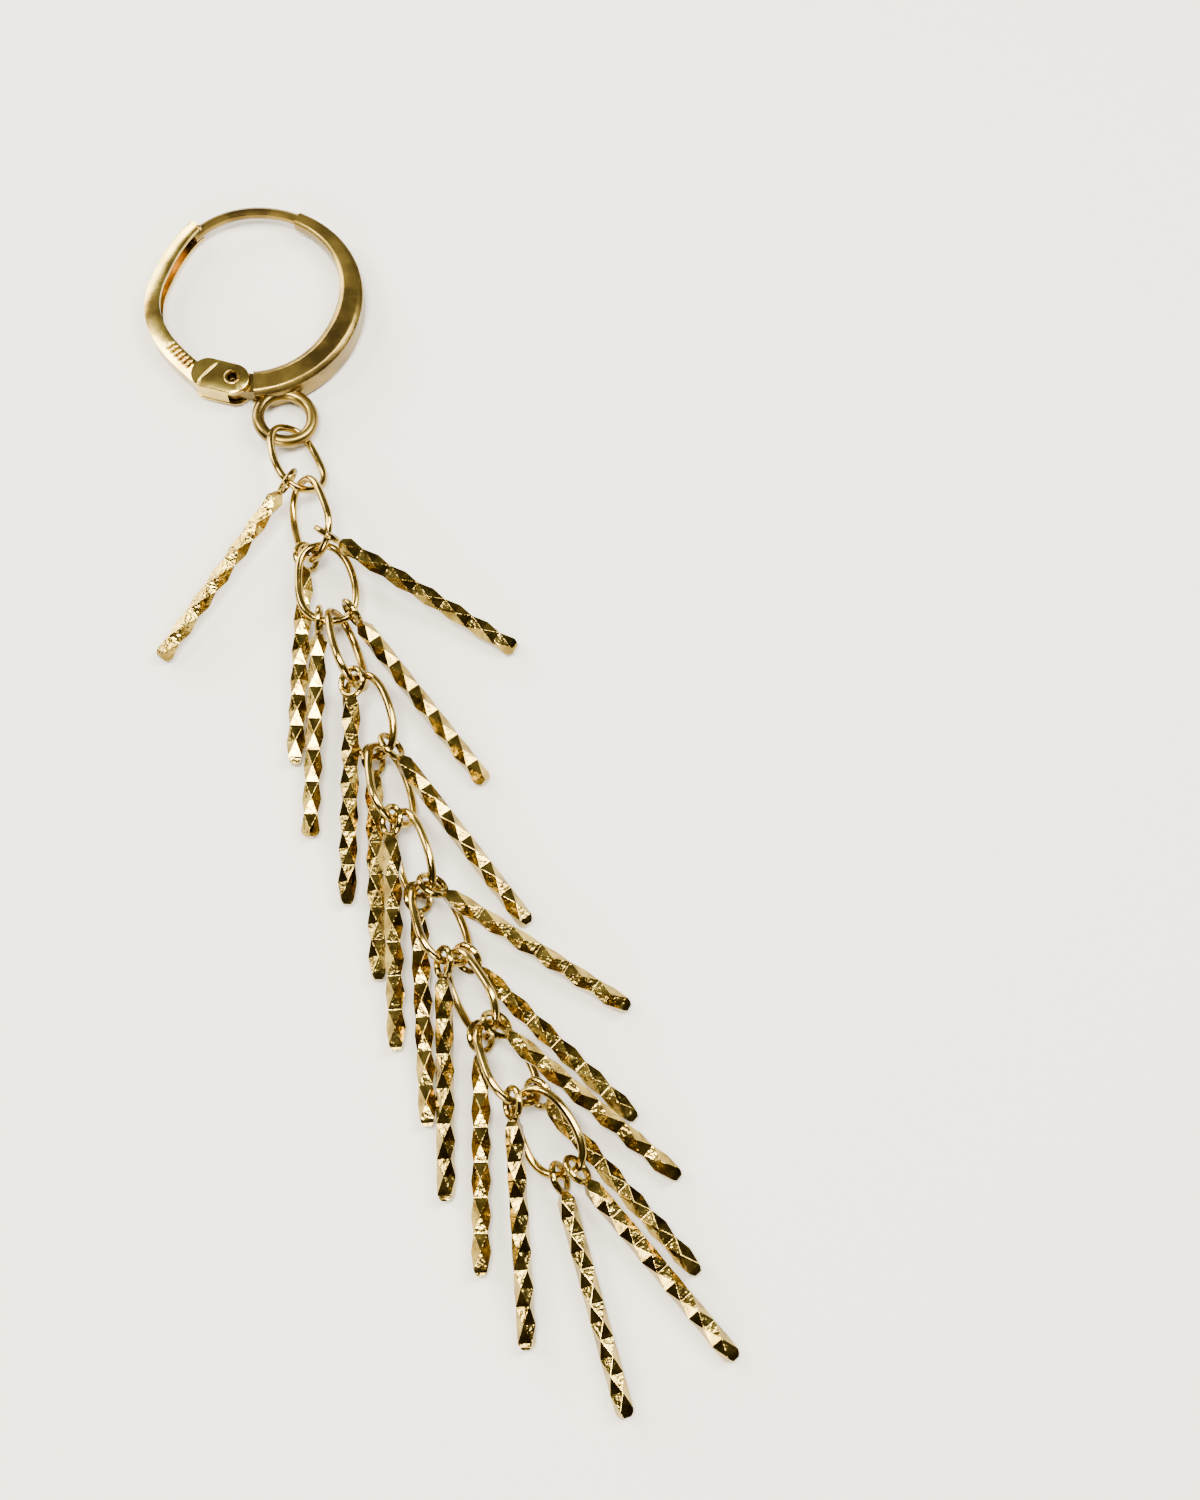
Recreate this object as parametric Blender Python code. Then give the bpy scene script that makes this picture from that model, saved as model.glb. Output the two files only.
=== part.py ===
"""Leverback hoop earring with a chain of oval wire links and faceted stick drops.

The earring lies on its side on a flat surface: +X is right, +Y runs up the earring towards the hoop's
top, +Z is up from the surface. The origin is on the hoop's underside, where the chain's fixed loop is
soldered on.
"""
import math
from collections import namedtuple

import bmesh
import bpy
from mathutils import Matrix, Vector

MM = 0.001

# Hoop: a round ear wire over the top, then a crescent that thickens towards the bottom
HOOP_DIAMETER = 14.0 * MM
EAR_WIRE = 0.75 * MM
CRESCENT_TOP_DEPTH = 0.9 * MM
CRESCENT_TOP_WIDTH = 0.95 * MM
CRESCENT_DEPTH = 1.75 * MM
CRESCENT_WIDTH = 2.0 * MM
WIRE_END_ANGLE = 127.0
WIRE_DIP_ANGLE = 95.0
WIRE_DIP = 0.32 * MM
CRESCENT_TOP_ANGLE = 67.0
CRESCENT_FULL_ANGLE = -32.0
CRESCENT_END_ANGLE = -85.0
CRESCENT_BEVEL = 0.2

# Fixed loop that the chain hangs on, soldered under the crescent
LOOP_DIAMETER = 4.1 * MM
LOOP_WIRE = 0.78 * MM
LOOP_SEAT = 0.63 * MM
LOOP_ANGLE = -73.0
LOOP_ROLL = 10.0
LOOP_PLAY = 0.35 * MM

# Hinge of the lever: a tongue on the hoop between two cheeks, and a rivet through all three
PIVOT_ANGLE = -98.0
PIVOT_INSET = 1.2 * MM
TONGUE_THICKNESS = 0.9 * MM
TONGUE_HEIGHT = 1.3 * MM
CHEEK_HEIGHT = 2.1 * MM
CHEEK_SPAN = 1.9 * MM
CHEEK_THICKNESS = 0.38 * MM
CHEEK_LENGTH = 1.6 * MM
PIN_DIAMETER = 0.6 * MM
PIN_CLEARANCE = 0.1 * MM

# Lever: a channel open towards the middle of the hoop, ribbed beside the cheeks, with a cup at its tip
LEVER_DEPTH = 1.1 * MM
LEVER_WIDTH = 1.46 * MM
LEVER_WEB = 0.22 * MM
CUP_CLEARANCE = 0.1 * MM
CUP_DEPTH = 0.9 * MM
RIB_DIAMETER = 0.32 * MM
RIB_PITCH = 0.36 * MM
RIB_COUNT = 6

# Chain link: an oval of round wire
LINK_LENGTH = 5.5 * MM
LINK_WIDTH = 3.8 * MM
LINK_WIRE = 0.48 * MM
LINK_PLAY = 0.12 * MM
LINK_SQUARENESS = 2.3
FIRST_END_HEIGHT = 0.88 * MM

# Stick drop: a round wire eye and a bar cut all round with triangular facets
BAR_LENGTH = 13.0 * MM
BAR_WIDTH = 1.1 * MM
FACET_PITCH = 0.95 * MM
TIP_LENGTH = 0.35 * MM
TIP_WIDTH = 0.6 * MM
NECK_WIDTH = 0.5 * MM
SHOULDER_LENGTH = 0.45 * MM
EYE_DIAMETER = 2.0 * MM
EYE_WIRE = 0.38 * MM
EYE_HANG = 0.06 * MM

SURFACE_GAP = 0.02 * MM

# Stations of the lever's arm from its cheeks to its tip: angle round the hoop in degrees, and how far
# the middle of the arm lies from the hoop's centre as a share of the hoop's outer radius
ArmStation = namedtuple("ArmStation", "angle reach")
LEVER_ARM = (
    ArmStation(-117.0, 0.840),
    ArmStation(-136.0, 0.838),
    ArmStation(-153.0, 0.860),
    ArmStation(-170.0, 0.882),
    ArmStation(-186.0, 0.878),
    ArmStation(-205.0, 0.868),
    ArmStation(-219.0, 0.893),
    ArmStation(-229.0, 0.926),
    ArmStation(-236.0, 0.948),
)

# The chain's lay, from the fixed loop down. Heading is measured from straight down the picture towards
# +X, roll turns a link about its own length: positive lifts its right side
Link = namedtuple("Link", "heading roll")
LINKS = (
    Link(16.0, -38.0),
    Link(13.0, 50.0),
    Link(16.5, -5.0),
    Link(19.5, -68.0),
    Link(19.0, 40.0),
    Link(17.0, -52.0),
    Link(20.0, 58.0),
    Link(24.0, -42.0),
    Link(26.0, 58.0),
    Link(28.5, -42.0),
    Link(33.0, 32.0),
)

# The drops from the top: the link that each hangs on, how far round the link's lower bend its eye sits,
# in degrees from the middle of the bend, positive to the right, and its heading
Bar = namedtuple("Bar", "link bend heading")
BARS = (
    Bar(1, -36.0, -34.0),
    Bar(2, 48.0, 60.0),
    Bar(2, -40.0, -0.5),
    Bar(3, 34.0, 38.0),
    Bar(3, -32.0, -0.5),
    Bar(4, -25.0, 0.0),
    Bar(5, 28.0, 38.0),
    Bar(5, -20.0, 3.0),
    Bar(6, -25.0, 2.5),
    Bar(7, 26.0, 59.0),
    Bar(7, -28.0, 4.0),
    Bar(8, 28.0, 46.5),
    Bar(8, -28.0, 1.5),
    Bar(9, 26.0, 51.0),
    Bar(9, -30.0, 1.0),
    Bar(10, 36.0, 42.0),
    Bar(10, -34.0, 4.0),
    Bar(11, 8.0, 40.5),
    Bar(11, -26.0, 16.0),
)

# Mesh fineness
SECTION_SIDES = 8
LINK_SIDES = 6
LINK_SEGMENTS = 16
EYE_SEGMENTS = 12
LOOP_SEGMENTS = 20
ARC_STEP = 8.0
ROUND_END_STEPS = 8
STATIONS_PER_SPAN = 3

# Values that follow from the driving dimensions
HOOP_RADIUS = HOOP_DIAMETER / 2
MID_HEIGHT = CRESCENT_WIDTH / 2
REST_RADIUS = HOOP_RADIUS - CRESCENT_DEPTH / 2
LINK_PITCH = LINK_LENGTH - 2 * LINK_WIRE - LINK_PLAY
LINK_HALF_LENGTH = (LINK_LENGTH - LINK_WIRE) / 2
LINK_HALF_WIDTH = (LINK_WIDTH - LINK_WIRE) / 2
EYE_RADIUS = (EYE_DIAMETER - EYE_WIRE) / 2
DOWN = Vector((0.0, -1.0, 0.0))
UP = Vector((0.0, 0.0, 1.0))


def clear_scene():
    for old in list(bpy.data.objects):
        bpy.data.objects.remove(old, do_unlink=True)


def metal(name, colour, roughness):
    """A plain metal with one colour."""
    material = bpy.data.materials.new(name)
    material.use_nodes = True
    shader = material.node_tree.nodes["Principled BSDF"]
    shader.inputs["Base Color"].default_value = (*colour, 1.0)
    shader.inputs["Metallic"].default_value = 1.0
    shader.inputs["Roughness"].default_value = roughness
    return material


def polar(angle, radius):
    """A point in the hoop's plane, angle in degrees from +X about the hoop's centre."""
    turn = math.radians(angle)
    return Vector((radius * math.cos(turn), radius * math.sin(turn), 0.0))


def from_bmesh(name, shape):
    bmesh.ops.recalc_face_normals(shape, faces=shape.faces)
    mesh = bpy.data.meshes.new(name)
    shape.to_mesh(mesh)
    shape.free()
    return mesh


def loft(name, sections, closed=False):
    """A solid through sections of equally many points; an open one gets flat end caps."""
    shape = bmesh.new()
    rings = [[shape.verts.new(point) for point in section] for section in sections]
    pairs = list(zip(rings, rings[1:]))
    if closed:
        pairs.append((rings[-1], rings[0]))
    for near, far in pairs:
        for index in range(len(near)):
            following = (index + 1) % len(near)
            shape.faces.new((near[index], near[following], far[following], far[index]))
    if not closed:
        shape.faces.new(rings[0])
        shape.faces.new(rings[-1])
    return from_bmesh(name, shape)


def wire_oval(name, half_width, half_length, squareness, wire, segments, sides):
    """A closed ring of round wire in the XY plane, its long way along Y."""
    sections = []
    for index in range(segments):
        turn = math.tau * index / segments
        middle = oval_point(turn, half_width, half_length, squareness)
        along = oval_tangent(turn, half_width, half_length, squareness)
        outward = Vector((along.y, -along.x, 0.0))
        sections.append([
            middle + wire / 2 * (outward * math.cos(spin) + UP * math.sin(spin))
            for spin in (math.tau * (side + 0.5) / sides for side in range(sides))
        ])
    return loft(name, sections, closed=True)


def oval_point(turn, half_width, half_length, squareness):
    """A point of a rounded oval, turn in radians from +X."""
    power = 2.0 / squareness
    across = math.copysign(abs(math.cos(turn)) ** power, math.cos(turn))
    along = math.copysign(abs(math.sin(turn)) ** power, math.sin(turn))
    return Vector((half_width * across, half_length * along, 0.0))


def oval_tangent(turn, half_width, half_length, squareness):
    step = 0.02
    ahead = oval_point(turn + step, half_width, half_length, squareness)
    behind = oval_point(turn - step, half_width, half_length, squareness)
    return (ahead - behind).normalized()


def cylinder(name, centre, radius, length, sides):
    """A round bar along Z."""
    shape = bmesh.new()
    bmesh.ops.create_cone(
        shape, cap_ends=True, segments=sides, radius1=radius, radius2=radius, depth=length,
        matrix=Matrix.Translation(centre))
    return from_bmesh(name, shape)


def capsule(name, start, end, radius, low, high):
    """A flat plate with two round ends, between two heights."""
    direction = (end - start).normalized()
    facing = math.atan2(direction.y, direction.x)
    outline = []
    for centre, first in ((end, facing - math.pi / 2), (start, facing + math.pi / 2)):
        for step in range(ROUND_END_STEPS + 1):
            turn = first + math.pi * step / ROUND_END_STEPS
            outline.append(centre + radius * Vector((math.cos(turn), math.sin(turn), 0.0)))
    return loft(name, [[point + UP * height for point in outline] for height in (low, high)])


def combine(name, meshes, cutters=()):
    """Fuse meshes into one solid, and cut others out of it."""
    holders = [bpy.data.objects.new(name + "_piece", mesh) for mesh in (*meshes, *cutters)]
    for holder in holders:
        bpy.context.collection.objects.link(holder)
    base = holders[0]
    for index, holder in enumerate(holders[1:], start=1):
        joint = base.modifiers.new("joint", "BOOLEAN")
        joint.object = holder
        joint.operation = "UNION" if index < len(meshes) else "DIFFERENCE"
        joint.solver = "EXACT"
    bpy.context.view_layer.update()
    evaluated = base.evaluated_get(bpy.context.evaluated_depsgraph_get())
    result = bpy.data.meshes.new_from_object(evaluated)
    result.name = name
    for holder in holders:
        bpy.data.objects.remove(holder, do_unlink=True)
    return result


def place(name, mesh, material, matrix=None, smooth_angle=None):
    """Put one named solid into the scene."""
    if not mesh.materials:
        mesh.materials.append(material)
    mesh.materials[0] = material
    if smooth_angle is not None:
        mesh.shade_smooth()
        mesh.set_sharp_from_angle(angle=math.radians(smooth_angle))
    solid = bpy.data.objects.new(name, mesh)
    solid.matrix_world = matrix or Matrix.Identity(4)
    bpy.context.collection.objects.link(solid)
    return solid


def hoop_centre():
    """The hoop's centre, so that the origin is in the middle of the crescent by the fixed loop."""
    return -polar(LOOP_ANGLE, REST_RADIUS)


def loop_centre():
    return hoop_centre() + polar(LOOP_ANGLE, HOOP_RADIUS + LOOP_DIAMETER / 2 - LOOP_SEAT)


def pivot_point():
    return hoop_centre() + polar(PIVOT_ANGLE, HOOP_RADIUS - PIVOT_INSET)


def eight_sided_section(angle, inner, outer, width, bevel_share):
    """A bevelled section of the hoop at one angle; each bevel takes a share of its depth and width."""
    bevel = bevel_share * (outer - inner)
    half = width / 2
    flat = half * (1.0 - 2.0 * bevel_share)
    profile = (
        (inner, -flat), (inner + bevel, -half), (outer - bevel, -half), (outer, -flat),
        (outer, flat), (outer - bevel, half), (inner + bevel, half), (inner, flat),
    )
    centre = hoop_centre() + UP * MID_HEIGHT
    return [centre + polar(angle, radius) + UP * height for radius, height in profile]


def ease(share):
    """Smooth step from 0 to 1."""
    share = min(max(share, 0.0), 1.0)
    return share * share * (3.0 - 2.0 * share)


def dip_share(angle):
    """How much of its dip towards the hoop's centre the ear wire has at an angle."""
    return (max(angle - WIRE_DIP_ANGLE, 0.0) / (WIRE_END_ANGLE - WIRE_DIP_ANGLE)) ** 2


def arc_angles(start, end):
    count = max(2, math.ceil(abs(end - start) / ARC_STEP))
    return [start + (end - start) * index / count for index in range(count + 1)]


def make_hoop(material):
    """Ear wire, crescent, hinge tongue and fixed loop: one soldered solid."""
    wire_flat = EAR_WIRE * math.cos(math.pi / 8)
    sections = []
    for angle in arc_angles(WIRE_END_ANGLE, CRESCENT_TOP_ANGLE + 1.0):
        dip = WIRE_DIP * dip_share(angle)
        sections.append(eight_sided_section(angle, HOOP_RADIUS - wire_flat - dip, HOOP_RADIUS - dip,
                                            wire_flat, (1.0 - math.tan(math.pi / 8)) / 2))
    for angle in arc_angles(CRESCENT_TOP_ANGLE, CRESCENT_END_ANGLE):
        swell = ease((CRESCENT_TOP_ANGLE - angle) / (CRESCENT_TOP_ANGLE - CRESCENT_FULL_ANGLE))
        depth = CRESCENT_TOP_DEPTH + (CRESCENT_DEPTH - CRESCENT_TOP_DEPTH) * swell
        width = CRESCENT_TOP_WIDTH + (CRESCENT_WIDTH - CRESCENT_TOP_WIDTH) * swell
        sections.append(eight_sided_section(angle, HOOP_RADIUS - depth, HOOP_RADIUS, width,
                                            CRESCENT_BEVEL))
    bow = loft("bow", sections)

    loop = wire_oval("loop", (LOOP_DIAMETER - LOOP_WIRE) / 2, (LOOP_DIAMETER - LOOP_WIRE) / 2, 2.0,
                     LOOP_WIRE, LOOP_SEGMENTS, SECTION_SIDES)
    roll = Matrix.Rotation(math.radians(-LOOP_ROLL), 4, polar(LOOP_ANGLE, 1.0))
    loop.transform(Matrix.Translation(loop_centre() + UP * MID_HEIGHT) @ roll)

    root = hoop_centre() + polar(CRESCENT_END_ANGLE + ARC_STEP, REST_RADIUS)
    tongue = capsule("tongue", root, pivot_point(), TONGUE_HEIGHT / 2,
                     MID_HEIGHT - TONGUE_THICKNESS / 2, MID_HEIGHT + TONGUE_THICKNESS / 2)
    bore = cylinder("bore", pivot_point() + UP * MID_HEIGHT, PIN_DIAMETER / 2 + PIN_CLEARANCE,
                    CRESCENT_WIDTH * 2, 2 * SECTION_SIDES)
    mesh = combine("ear_hoop", (bow, loop, tongue), (bore,))
    return place("ear_hoop", mesh, material, smooth_angle=35.0)


def arm_points():
    """The middle line of the lever's arm: a smooth curve through its stations."""
    knots = [hoop_centre() + polar(row.angle, row.reach * HOOP_RADIUS) for row in LEVER_ARM]
    padded = [2 * knots[0] - knots[1], *knots, 2 * knots[-1] - knots[-2]]
    points = []
    for index in range(1, len(padded) - 2):
        before, start, end, after = padded[index - 1:index + 3]
        for step in range(STATIONS_PER_SPAN):
            share = step / STATIONS_PER_SPAN
            points.append(0.5 * (
                2 * start + (end - before) * share
                + (2 * before - 5 * start + 4 * end - after) * share ** 2
                + (3 * start - before - 3 * end + after) * share ** 3))
    points.append(knots[-1])
    return points


def arm_frame(points, index):
    """A point of the arm's middle line and the outward direction there."""
    ahead = points[min(index + 1, len(points) - 1)]
    behind = points[max(index - 1, 0)]
    along = (ahead - behind).normalized()
    return points[index], Vector((along.y, -along.x, 0.0)) * -1.0


def make_lever(material):
    """Cheeks, ribbed channel and cup, with its origin on the pivot."""
    points = arm_points()
    groove = EAR_WIRE / 2 + CUP_CLEARANCE
    sections = []
    for index in range(len(points)):
        middle, outward = arm_frame(points, index)
        share = index / (len(points) - 1)
        half_depth = (LEVER_DEPTH + (CUP_DEPTH - LEVER_DEPTH) * ease(share)) / 2
        half_width = LEVER_WIDTH / 2
        edge = half_width * 0.6
        shoulder = half_depth * 0.5
        profile = (
            (-half_depth, -half_width), (shoulder, -half_width), (half_depth, -edge),
            (half_depth, edge), (shoulder, half_width), (-half_depth, half_width),
            (-half_depth, groove), (half_depth - LEVER_WEB, groove),
            (half_depth - LEVER_WEB, -groove), (-half_depth, -groove),
        )
        sections.append([middle + outward * offset + UP * (MID_HEIGHT + height)
                         for offset, height in profile])
    arm = loft("arm", sections)

    pivot = pivot_point()
    reach = pivot + (points[0] - pivot).normalized() * CHEEK_LENGTH
    cheeks = []
    for low in (MID_HEIGHT - CHEEK_SPAN / 2, MID_HEIGHT + CHEEK_SPAN / 2 - CHEEK_THICKNESS):
        cheeks.append(capsule("cheek", pivot, reach, CHEEK_HEIGHT / 2, low, low + CHEEK_THICKNESS))

    ribs = []
    travelled = 0.0
    for index in range(1, len(points)):
        travelled += (points[index] - points[index - 1]).length
        while len(ribs) < RIB_COUNT and travelled > CHEEK_LENGTH / 2 + RIB_PITCH * (len(ribs) + 1):
            middle, outward = arm_frame(points, index)
            back = travelled - CHEEK_LENGTH / 2 - RIB_PITCH * (len(ribs) + 1)
            along = (points[index] - points[index - 1]).normalized()
            centre = middle - along * back - outward * (LEVER_DEPTH / 2 - RIB_DIAMETER / 4)
            ribs.append(cylinder("rib", centre + UP * MID_HEIGHT, RIB_DIAMETER / 2,
                                 LEVER_WIDTH * 0.9, LINK_SIDES))

    bore = cylinder("bore", pivot + UP * MID_HEIGHT, PIN_DIAMETER / 2 + PIN_CLEARANCE,
                    CHEEK_SPAN * 2, 2 * SECTION_SIDES)
    mesh = combine("lever", (arm, *cheeks, *ribs), (bore,))
    mesh.transform(Matrix.Translation(-pivot))
    return place("lever", mesh, material, Matrix.Translation(pivot), smooth_angle=35.0)


def make_pin(material):
    """The hinge's rivet, flush with the cheeks."""
    mesh = cylinder("hinge_pin", Vector(), PIN_DIAMETER / 2, CHEEK_SPAN, 2 * SECTION_SIDES)
    return place("hinge_pin", mesh, material,
                 Matrix.Translation(pivot_point() + UP * MID_HEIGHT), smooth_angle=35.0)


def resting_height(number):
    """How high a link's middle is when its low side, or the eye hung there, touches the surface."""
    lift = abs(math.sin(math.radians(LINKS[number - 1].roll)))
    height = LINK_WIRE / 2 + LINK_HALF_WIDTH * lift
    for bar in BARS:
        if bar.link == number and bar.bend * LINKS[number - 1].roll < 0:
            seat = oval_point(math.radians(90.0 - bar.bend), LINK_HALF_WIDTH, LINK_HALF_LENGTH,
                              LINK_SQUARENESS)
            height = max(height, EYE_DIAMETER / 2 + abs(seat.x) * lift)
    return height + SURFACE_GAP


def heading_vector(heading):
    return Matrix.Rotation(math.radians(heading), 3, "Z") @ DOWN


def chain_joints():
    """Where the links meet, from the fixed loop to the chain's end."""
    heights = [max(resting_height(number), resting_height(number + 1))
               for number in range(1, len(LINKS))]
    heights.append(resting_height(len(LINKS)))

    # The first link's upper end hangs in the fixed loop, beyond the point where the chain starts
    overlap = LINK_HALF_LENGTH - LINK_PITCH / 2
    share = overlap / (overlap + LINK_PITCH)
    heights.insert(0, FIRST_END_HEIGHT + (heights[0] - FIRST_END_HEIGHT) * share)
    reach = LOOP_DIAMETER / 2 - LOOP_WIRE - LINK_WIRE / 2 - LOOP_PLAY
    first = loop_centre() + heading_vector(LINKS[0].heading) * (reach + overlap)
    joints = [first + UP * heights[0]]
    for index, link in enumerate(LINKS):
        rise = heights[index + 1] - heights[index]
        run = math.sqrt(LINK_PITCH ** 2 - rise ** 2)
        joints.append(joints[-1] + heading_vector(link.heading) * run + UP * rise)
    return joints


def link_frames():
    """For each link its middle and its side, length and plate directions; the length points down."""
    joints = chain_joints()
    frames = []
    for index, link in enumerate(LINKS):
        start, end = joints[index], joints[index + 1]
        along = (end - start).normalized()
        level = along.cross(UP).normalized() * -1.0
        raised = along.cross(level).normalized()
        turn = math.radians(link.roll)
        side = level * math.cos(turn) + raised * math.sin(turn)
        frames.append(((start + end) / 2, side, along, along.cross(side).normalized()))
    return frames


def pose(origin, x_axis, y_axis, z_axis):
    """The matrix that puts a piece's own axes along three directions."""
    matrix = Matrix((x_axis, y_axis, z_axis)).transposed().to_4x4()
    matrix.translation = origin
    return matrix


def make_links(material):
    """Oval wire links, each through the next."""
    mesh = wire_oval("link", LINK_HALF_WIDTH, LINK_HALF_LENGTH, LINK_SQUARENESS,
                     LINK_WIRE, LINK_SEGMENTS, LINK_SIDES)
    for number, (middle, side, along, plate) in enumerate(link_frames(), start=1):
        place(f"link_{number:02d}", mesh, material, pose(middle, side, along, plate), 60.0)


def bar_mesh():
    """One stick drop: its eye's centre is the origin and the stick points along -Y."""
    eye = wire_oval("eye", EYE_RADIUS, EYE_RADIUS, 2.0, EYE_WIRE, EYE_SEGMENTS, LINK_SIDES)
    top = EYE_RADIUS
    straight = BAR_LENGTH - TIP_LENGTH - top - SHOULDER_LENGTH
    layers = max(2, round(straight / FACET_PITCH))
    sections = [(top, NECK_WIDTH, 0)]
    for layer in range(layers + 1):
        sections.append((top + SHOULDER_LENGTH + straight * layer / layers, BAR_WIDTH, layer))
    sections.append((BAR_LENGTH, TIP_WIDTH, layers))
    shape = bmesh.new()
    rings = []
    for distance, width, layer in sections:
        first = math.radians(45.0) * (layer % 2)
        rings.append([
            shape.verts.new((width / 2 * math.sin(turn), -distance, width / 2 * math.cos(turn)))
            for turn in (first + math.tau * corner / 4 for corner in range(4))
        ])
    turns = [layer for _, _, layer in sections]
    for near, far, this, following in zip(rings, rings[1:], turns, turns[1:]):
        for corner in range(4):
            ahead = (corner + 1) % 4
            if this == following:
                shape.faces.new((near[corner], near[ahead], far[ahead], far[corner]))
            elif this % 2 == 0:
                shape.faces.new((near[corner], near[ahead], far[corner]))
                shape.faces.new((near[ahead], far[ahead], far[corner]))
            else:
                shape.faces.new((near[corner], near[ahead], far[ahead]))
                shape.faces.new((near[corner], far[ahead], far[corner]))
    shape.faces.new(rings[0])
    shape.faces.new(rings[-1])
    stick = from_bmesh("stick", shape)
    return combine("bar", (eye, stick))


def bar_frames():
    """For each drop the centre of its eye, the direction of its stick and the eye's axis."""
    links = link_frames()
    frames = []
    for bar in BARS:
        middle, side, along, _ = links[bar.link - 1]
        turn = math.radians(90.0 - bar.bend)
        spot = oval_point(turn, LINK_HALF_WIDTH, LINK_HALF_LENGTH, LINK_SQUARENESS)
        tangent = oval_tangent(turn, LINK_HALF_WIDTH, LINK_HALF_LENGTH, LINK_SQUARENESS)
        seat = middle + side * spot.x + along * spot.y
        wire = side * tangent.x + along * tangent.y
        drop = BAR_WIDTH / 2 + SURFACE_GAP - seat.z
        slope = drop / (BAR_LENGTH + EYE_HANG)
        direction = heading_vector(bar.heading) * math.sqrt(1.0 - slope ** 2) + UP * slope
        axis = (wire - direction * wire.dot(direction)).normalized()
        frames.append((seat + direction * EYE_HANG, direction, axis))
    return frames


def make_bars(material):
    """The stick drops, each with its eye round a link's bend and its tip on the surface."""
    mesh = bar_mesh()
    for number, (eye, direction, axis) in enumerate(bar_frames(), start=1):
        across = (-direction).cross(axis)
        place(f"bar_{number:02d}", mesh, material, pose(eye, across, -direction, axis))


def main():
    clear_scene()
    make_hoop(metal("gold_hoop", (0.78, 0.60, 0.27), 0.14))
    make_lever(metal("gold_lever", (0.80, 0.62, 0.28), 0.16))
    make_pin(metal("gold_rivet", (0.72, 0.55, 0.26), 0.22))
    make_links(metal("gold_wire", (0.82, 0.66, 0.32), 0.12))
    make_bars(metal("gold_diamond_cut", (0.80, 0.63, 0.30), 0.08))


main()
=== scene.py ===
"""A leverback earring in gold-plated brass, lying on its side on a pale floor.

The hoop and its lever carry a chain of oval wire links and a fan of diamond-cut stick drops."""
import math
from collections import namedtuple

import bpy
import numpy as np
from mathutils import Matrix, Vector


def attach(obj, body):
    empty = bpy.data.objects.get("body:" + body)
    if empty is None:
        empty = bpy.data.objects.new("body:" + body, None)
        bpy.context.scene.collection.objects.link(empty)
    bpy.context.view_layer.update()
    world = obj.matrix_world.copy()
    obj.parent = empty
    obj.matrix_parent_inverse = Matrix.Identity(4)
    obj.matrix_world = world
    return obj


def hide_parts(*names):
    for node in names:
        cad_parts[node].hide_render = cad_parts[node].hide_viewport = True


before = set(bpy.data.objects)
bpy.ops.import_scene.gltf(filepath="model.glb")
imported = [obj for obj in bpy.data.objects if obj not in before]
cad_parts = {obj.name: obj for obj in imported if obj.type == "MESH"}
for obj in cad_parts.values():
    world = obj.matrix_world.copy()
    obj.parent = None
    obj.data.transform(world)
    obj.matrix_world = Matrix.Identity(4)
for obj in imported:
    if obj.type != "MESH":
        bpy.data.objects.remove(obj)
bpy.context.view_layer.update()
bpy.ops.object.select_all(action="DESELECT")

MM = 0.001
TOUCH = 0.0001 * MM


# Hoop: a round ear wire over the top runs into a crescent that thickens towards the bottom. It is
# cast in brass as a straight tapered bar with bevelled corners, bent round a mandrel, tumbled and
# plated with gold.
HOOP_CENTRE = Vector((-1.7908, 5.8574, 1.0)) * MM
HOOP_RADIUS = 7.0 * MM
CRESCENT_START = -85.0
CRESCENT_FULL = -32.0
CRESCENT_TOP = 67.0
Section = namedtuple("Section", "depth width")
CRESCENT_LARGE = Section(1.75 * MM, 2.0 * MM)
CRESCENT_SMALL = Section(0.90 * MM, 0.95 * MM)
BEVEL_SHARE = 0.20
BEVEL_SLOPE = 1.8
CORNER_SHARE = 0.05
CRESCENT_STATIONS = 52
EAR_WIRE = 0.72 * MM
WIRE_START = 62.0
WIRE_END = 130.0
WIRE_DIP = 0.38 * MM
WIRE_DIP_TURN = 11.0


def around_hoop(angle, radius):
    """A point in the hoop's middle plane, at an angle in degrees from the X axis."""
    turn = math.radians(angle)
    return HOOP_CENTRE + radius * Vector((math.cos(turn), math.sin(turn), 0.0))


def take_primitive(name):
    """Names the primitive that was just added and makes its place part of its mesh."""
    piece = bpy.context.object
    piece.name = name
    piece.data.name = name
    bpy.ops.object.transform_apply(location=True, rotation=True, scale=True)
    return piece


def work_on(piece):
    """Makes a piece the active one and the only one selected."""
    bpy.ops.object.select_all(action="DESELECT")
    piece.select_set(True)
    bpy.context.view_layer.objects.active = piece


def edit_all(piece):
    """Opens a piece in edit mode with all of it selected."""
    work_on(piece)
    bpy.ops.object.mode_set(mode="EDIT")
    bpy.ops.mesh.select_all(action="SELECT")


def close_edit():
    """Leaves edit mode with the faces turned outwards."""
    bpy.ops.mesh.select_all(action="SELECT")
    bpy.ops.mesh.normals_make_consistent(inside=False)
    bpy.ops.object.mode_set(mode="OBJECT")


def select_points(piece, wanted):
    """Selects the points of a piece, in edit mode, whose place passes a test."""
    bpy.ops.object.mode_set(mode="OBJECT")
    for part in (piece.data.polygons, piece.data.edges):
        for element in part:
            element.select = False
    for point in piece.data.vertices:
        point.select = wanted(point.co)
    bpy.ops.object.mode_set(mode="EDIT")


def finish_with(piece, kind, **settings):
    """Adds one modifier and applies it."""
    work_on(piece)
    modifier = piece.modifiers.new(kind.lower(), kind)
    for name, value in settings.items():
        setattr(modifier, name, value)
    bpy.ops.object.modifier_apply(modifier=modifier.name)


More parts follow.
